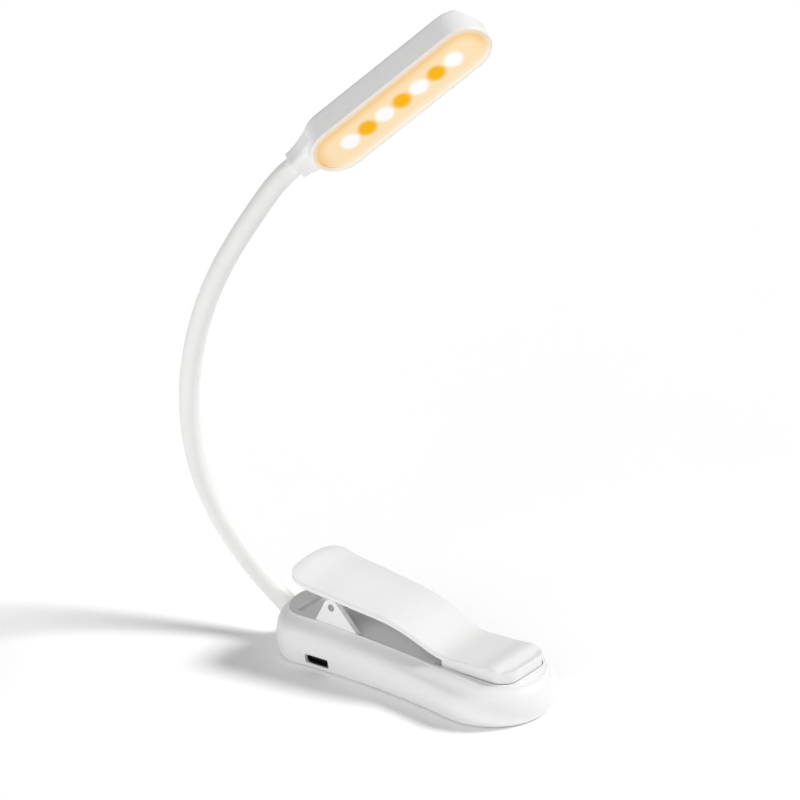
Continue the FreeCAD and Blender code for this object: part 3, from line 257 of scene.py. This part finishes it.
def arc_points(start, start_way, end, end_way, steps):
    """Points of a smooth curve from start to end, with the first left out."""
    reach = (end - start).length
    made = []
    for k in range(1, steps + 1):
        t = k / steps
        made.append(start * (2 * t ** 3 - 3 * t ** 2 + 1) + start_way * reach * (t ** 3 - 2 * t ** 2 + t)
                    + end * (3 * t ** 2 - 2 * t ** 3) + end_way * reach * (t ** 3 - t ** 2))
    return made


root = neck_points[0] - headings[0] * ROOT_RUN
line = [root] + arc_points(root, headings[0], neck_points[0], headings[0], STEPS)
for k in range(len(neck_points) - 1):
    line += arc_points(neck_points[k], headings[k], neck_points[k + 1], headings[k + 1], STEPS)
line += arc_points(neck_points[-1], headings[-1], neck_end, head_along, STEPS)
line += arc_points(neck_end, head_along, neck_end + head_along * HEAD_RUN, head_along, HEAD_STEPS)


def rings_along(points):
    """A circle of points round each point of a line, without twist from one to the next."""
    side = (points[1] - points[0]).orthogonal().normalized()
    made = []
    for k, point in enumerate(points):
        way = (points[min(k + 1, len(points) - 1)] - points[max(k - 1, 0)]).normalized()
        side = (side - way * side.dot(way)).normalized()
        up = way.cross(side)
        turns = [2 * math.pi * s / SLEEVE_SIDES for s in range(SLEEVE_SIDES)]
        made.append([point + (side * math.cos(a) + up * math.sin(a)) * SLEEVE_RADIUS for a in turns])
    return made


def sleeve_length(name, rings):
    """A tube of mesh over some rings."""
    corners = [tuple(corner) for ring in rings for corner in ring]
    faces = []
    for k in range(len(rings) - 1):
        for s in range(SLEEVE_SIDES):
            a, b = k * SLEEVE_SIDES + s, k * SLEEVE_SIDES + (s + 1) % SLEEVE_SIDES
            faces.append((a, b, b + SLEEVE_SIDES, a + SLEEVE_SIDES))
    mesh = bpy.data.meshes.new(name)
    mesh.from_pydata(corners, [], faces)
    mesh.shade_smooth()
    made = bpy.data.objects.new(name, mesh)
    bpy.context.scene.collection.objects.link(made)
    return made


# silicone sleeve: a warm white skin, half matt, with a faint sheen
sleeve_silicone = grained("white_silicone_sleeve", "#F2F2F0", "#ECECEA", roughness=0.42, spread=0.04,
                          patch_mm=12, grain_mm=0.7, bump=0.01,
                          **{"IOR": 1.43, "Sheen Weight": 0.1, "Sheen Roughness": 0.4})
all_rings = rings_along(line)
for k in range(len(neck_joints)):
    first = 0 if k == 0 else STEPS * k + STEPS // 2
    last = len(line) - 1 if k == len(neck_joints) - 1 else STEPS * (k + 1) + STEPS // 2
    sleeve = sleeve_length("neck_sleeve_skin_" + str(k + 1), all_rings[first:last + 1])
    sleeve.data.materials.append(sleeve_silicone)
    covered = ["neck_sleeve_" + ("tip" if k == len(neck_joints) - 1 else str(k + 1))]
    if k == 0:
        covered.append("neck_sleeve_root")
    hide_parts(*covered)
    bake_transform(sleeve)

# wound steel strip: bright ridges round the hose, one to each turn
hose_steel = metal("wound_steel_strip", "#A3A5A8", "#8E9093", roughness=0.33, spread=0.06, patch_mm=1,
                   grain_mm=0.5, bump=0.08)
# PVC wire insulation: smooth red
wire_pvc = grained("red_pvc_insulation", "#B3201C", "#A01A17", roughness=0.40, spread=0.05, patch_mm=3,
                   grain_mm=0.4, bump=0.01, **{"IOR": 1.52})
for end in ["root", "tip"] + [str(k) for k in range(1, 7)]:
    dress(hose_steel, "neck_hose_" + end)
    dress(wire_pvc, "neck_wires_" + end)


# ---- Head shells ----------------------------------------------------------------------------------
# A slim capsule in two ABS mouldings: the back shell, which takes the neck in its collar, and the front
# bezel round the window. The bezel is thin, so the light inside shines through its front face.
face_side = face_out.cross(head_along)


def along_axis(tree, place, way, origin):
    """How far each point lies along one direction from an origin, in metres."""
    from_origin = add(tree, "VectorMath", {0: place, 1: tuple(origin)}, operation="SUBTRACT")
    return add(tree, "VectorMath", {0: from_origin.outputs["Vector"], 1: tuple(way)},
               operation="DOT_PRODUCT").outputs["Value"]


def math_node(tree, operation, *values):
    return add(tree, "Math", dict(enumerate(values)), operation=operation).outputs["Value"]


def length(tree, x, y):
    squares = math_node(tree, "ADD", math_node(tree, "MULTIPLY", x, x), math_node(tree, "MULTIPLY", y, y))
    return math_node(tree, "SQRT", squares)


def soft_step(tree, value, low, high):
    """0 at low and 1 at high, with soft ends."""
    return add(tree, "MapRange", {"Value": value, "From Min": low, "From Max": high},
               interpolation_type="SMOOTHSTEP").outputs["Result"]


def capsule_distance(tree, place):
    """Distance in the light face from the middle line of the window, which is a long round-ended slot."""
    x = along_axis(tree, place, head_along, lens_middle)
    y = along_axis(tree, place, face_side, lens_middle)
    past_middle = math_node(tree, "SUBTRACT", math_node(tree, "ABSOLUTE", x), SLOT_HALF)
    return length(tree, math_node(tree, "MAXIMUM", past_middle, 0.0), y)


def lit(tree, out, colour, light, light_power, normal, roughness, **shader):
    """A surface that also gives light of its own."""
    surface = add(tree, "BsdfPrincipled", {
        "Base Color": colour, "Roughness": roughness, "Normal": normal,
        "Emission Color": light, "Emission Strength": light_power, **shader})
    tree.links.new(surface.outputs["BSDF"], out.inputs["Surface"])


lens_points = [(vertex.co - lens_middle).dot(head_along) for vertex in nodes["diffuser_lens"].data.vertices]
lens_across = [(vertex.co - lens_middle).dot(face_side) for vertex in nodes["diffuser_lens"].data.vertices]
WINDOW_HALF = max(lens_across)
SLOT_HALF = max(lens_points) - WINDOW_HALF
GLOW_OUTSIDE = 0.0026        # how far past the window's edge the bezel glows
GLOW_FULL = 0.0006           # how far inside that edge the glow is full
GLOW_DEPTH = 0.0012          # below the lens's middle, where the glow of the bezel's side ends
GLOW_FRONT = 0.0004          # above the lens's middle, where it is full
MOULD_GRAIN_MM = 0.9
MOULD_BUMP = 0.000006
RIM_LIGHT_POWER = 0.12

# white ABS lit from behind: neutral at the back and warm on the front face, where it goes from pale cream
# on one side of the window to orange on the other
glowing_abs, tree, out = new_material("white_abs_lit_from_inside")
place = add(tree, "TexCoord").outputs["Object"]
distance = capsule_distance(tree, place)
height = along_axis(tree, place, face_out, lens_middle)
front = soft_step(tree, height, -GLOW_DEPTH, GLOW_FRONT)
nearness = soft_step(tree, distance, WINDOW_HALF + GLOW_OUTSIDE, WINDOW_HALF - GLOW_FULL)
glow = math_node(tree, "MULTIPLY", front, nearness)
grain = add(tree, "TexNoise", {"Vector": place, "Scale": scale_of(MOULD_GRAIN_MM), "Detail": 2.0})
raised = add(tree, "Bump", {"Height": grain.outputs["Fac"], "Strength": BUMP_STRENGTH,
                            "Distance": MOULD_BUMP})
across = soft_step(tree, along_axis(tree, place, face_side, lens_middle), -WINDOW_HALF, 0.0)
rim_tint = mixed(tree, across, linear("#FBF0DC"), linear("#F2C98A"))
tint = mixed(tree, glow, linear("#EEEEED"), rim_tint)
rim_light = mixed(tree, across, linear("#FFF3DC"), linear("#FFC873"))
rim_power = math_node(tree, "MULTIPLY", glow, RIM_LIGHT_POWER)
lit(tree, out, tint, rim_light, rim_power, raised.outputs["Normal"], 0.34, IOR=1.53)
dress(white_abs, "head_back_shell")
dress(glowing_abs, "head_front_bezel")


# ---- Window and light source ----------------------------------------------------------------------
# A frosted acrylic diffuser over seven LEDs, white and amber in turn. The frosting spreads each LED into
# a soft round spot and fills the rest of the window with warm light that is deepest along one edge.
led_places = sorted((Vector(vertex.co) - lens_middle).dot(head_along)
                    for name in ("white_leds", "amber_leds") for vertex in nodes[name].data.vertices)
LED_COUNT = 7
LED_SIZE = 0.006             # across one LED's dome
SPOT_RADIUS = 0.0033         # of the soft disc that each LED makes on the diffuser
SPOT_BLUR = 0.0011
RIM_BAND = 0.0042            # width of the band round the window's edge that has the rim's tone
DRIFT_MM = 18                # of the slow change in brightness along the window
FROSTING_MM = 0.35
FROSTING_BUMP = 0.00001
first_led = led_places[0] + LED_SIZE / 2
led_pitch = (led_places[-1] - led_places[0] - LED_SIZE) / (LED_COUNT - 1)

# frosted acrylic, lit: pale orange with white and amber discs, and a rim that is paler than the rest on
# one side and deeper on the other
lit_lens, tree, out = new_material("frosted_acrylic_lit")
place = add(tree, "TexCoord").outputs["Object"]
distance = capsule_distance(tree, place)
rim = soft_step(tree, distance, WINDOW_HALF - RIM_BAND, WINDOW_HALF)
drift = add(tree, "TexNoise", {"Vector": place, "Scale": scale_of(DRIFT_MM), "Detail": 1.0})
across = soft_step(tree, along_axis(tree, place, face_side, lens_middle), -WINDOW_HALF, 0.0)
rim_tone = mixed(tree, across, linear("#FFECD0"), linear("#F8CF92"))
field = mixed(tree, rim, linear("#FFE4B8"), rim_tone)
x = math_node(tree, "SUBTRACT", along_axis(tree, place, head_along, lens_middle), first_led)
y = along_axis(tree, place, face_side, lens_middle)
number = math_node(tree, "ROUND", math_node(tree, "DIVIDE", x, led_pitch))
number = math_node(tree, "MINIMUM", math_node(tree, "MAXIMUM", number, 0.0), LED_COUNT - 1.0)
off = math_node(tree, "SUBTRACT", x, math_node(tree, "MULTIPLY", number, led_pitch))
from_led = length(tree, off, y)
spot = soft_step(tree, from_led, SPOT_RADIUS + SPOT_BLUR, SPOT_RADIUS - SPOT_BLUR)
is_amber = math_node(tree, "MODULO", number, 2.0)
led_light = mixed(tree, is_amber, linear("#FFFFFF"), linear("#FBB800"))
light = mixed(tree, spot, field, led_light)
frosting = add(tree, "TexNoise", {"Vector": place, "Scale": scale_of(FROSTING_MM), "Detail": 2.0})
raised = add(tree, "Bump", {"Height": frosting.outputs["Fac"], "Strength": BUMP_STRENGTH,
                            "Distance": FROSTING_BUMP})
power = add(tree, "MapRange", {"Value": drift.outputs["Fac"], "To Min": 0.93, "To Max": 1.0})
lit(tree, out, linear("#070705"), light, power.outputs["Result"], raised.outputs["Normal"], 0.5,
    **{"IOR": 1.49, "Specular IOR Level": 0.1})
dress(lit_lens, "diffuser_lens")

# white reflector film and the white solder mask of the LED board: both throw the light forward
reflector_film = grained("white_reflector_film", "#FAFAF6", "#F4F4EF", roughness=0.40, spread=0.05,
                         patch_mm=4, grain_mm=0.4, bump=0.01, **{"IOR": 1.5})
white_mask = grained("white_solder_mask", "#F1F1EC", "#EAEAE4", roughness=0.28, spread=0.04, patch_mm=3,
                     grain_mm=0.5, bump=0.01, **{"IOR": 1.55})
# LED phosphor under clear resin: cream white for the white ones, deep yellow for the amber ones
white_phosphor = grained("white_led_phosphor", "#FFF8E6", "#FFF3D2", roughness=0.30, spread=0.04, patch_mm=1,
                         grain_mm=0.3, bump=0.01, **{"IOR": 1.5, "Emission Color": linear("#FFFBF0"),
                                                     "Emission Strength": 1.0})
amber_phosphor = grained("amber_led_phosphor", "#FFC02A", "#F9AE10", roughness=0.30, spread=0.04, patch_mm=1,
                         grain_mm=0.3, bump=0.01, **{"IOR": 1.5, "Emission Color": linear("#FFB20A"),
                                                     "Emission Strength": 1.0})
dress(reflector_film, "reflector")
dress(white_mask, "led_board")
dress(white_phosphor, "white_leds")
dress(amber_phosphor, "amber_leds")


# ---- Floor, light and camera ----------------------------------------------------------------------
# A plain white sweep under large soft lamps: one over the back right, so that the base throws a soft
# shadow towards the front left, and a weaker one from the front that opens up the near side.
FLOOR_HALF = 4.0
floor_mesh = bpy.data.meshes.new("floor")
corners = [(-FLOOR_HALF, -FLOOR_HALF, 0), (FLOOR_HALF, -FLOOR_HALF, 0),
           (FLOOR_HALF, FLOOR_HALF, 0), (-FLOOR_HALF, FLOOR_HALF, 0)]
floor_mesh.from_pydata(corners, [], [(0, 1, 2, 3)])
floor = bpy.data.objects.new("floor", floor_mesh)
bpy.context.scene.collection.objects.link(floor)
# matt white paper, with a trace of light of its own so that the far floor stays as white as the backdrop
paper = grained("matt_white_paper", "#FFFFFF", "#FDFDFD", roughness=0.9, spread=0.02, patch_mm=60,
                grain_mm=2.0, bump=0.02, **{"Specular IOR Level": 0.0, "Emission Color": linear("#FFFFFF"),
                                            "Emission Strength": 0.04})
floor_mesh.materials.append(paper)

AZIMUTH = math.radians(36.0)
ELEVATION = math.radians(24.4)
to_right = Vector((math.cos(AZIMUTH), math.sin(AZIMUTH), 0))
to_camera = Vector((math.sin(AZIMUTH) * math.cos(ELEVATION), -math.cos(AZIMUTH) * math.cos(ELEVATION),
                    math.sin(ELEVATION)))
to_top = to_camera.cross(to_right)
middle = (cad_box[0] + cad_box[1]) / 2
AIM_RIGHT = 0.0023           # of the middle of the lamp, in the picture
AIM_BELOW = 0.0193
aim = middle + to_right * AIM_RIGHT - to_top * AIM_BELOW
CAMERA_DISTANCE = 2.0
FRAME_WIDTH = 0.8 / 3.0      # of the picture, in the plane of the lamp
camera_data = bpy.data.cameras.new("camera")
camera_data.sensor_width = 36.0
camera_data.lens = camera_data.sensor_width * CAMERA_DISTANCE / FRAME_WIDTH
camera_data.clip_end = 50.0
camera = bpy.data.objects.new("camera", camera_data)
bpy.context.scene.collection.objects.link(camera)
camera.matrix_world = Matrix.Translation(aim + to_camera * CAMERA_DISTANCE) @ to_camera.to_track_quat(
    "Z", "Y").to_matrix().to_4x4()
bpy.context.scene.camera = camera


def soft_sun(name, towards, strength, spread):
    """Even light from one direction, as from a large lamp far away that looks spread degrees wide."""
    lamp_data = bpy.data.lights.new(name, "SUN")
    lamp_data.energy = strength
    lamp_data.angle = math.radians(spread)
    lamp = bpy.data.objects.new(name, lamp_data)
    bpy.context.scene.collection.objects.link(lamp)
    lamp.matrix_world = towards.normalized().to_track_quat("Z", "Y").to_matrix().to_4x4()
    return lamp


soft_sun("key_lamp", Vector((0.46, 0.52, 0.70)), 2.7, 18.0)
soft_sun("fill_lamp", Vector((0.12, -0.95, 0.42)), 1.5, 60.0)

world = bpy.data.worlds.new("white_room")
world.use_nodes = True
world.node_tree.nodes["Background"].inputs["Color"].default_value = (1, 1, 1, 1)
world.node_tree.nodes["Background"].inputs["Strength"].default_value = 0.17
bpy.context.scene.world = world
bpy.context.scene.view_settings.view_transform = "Standard"
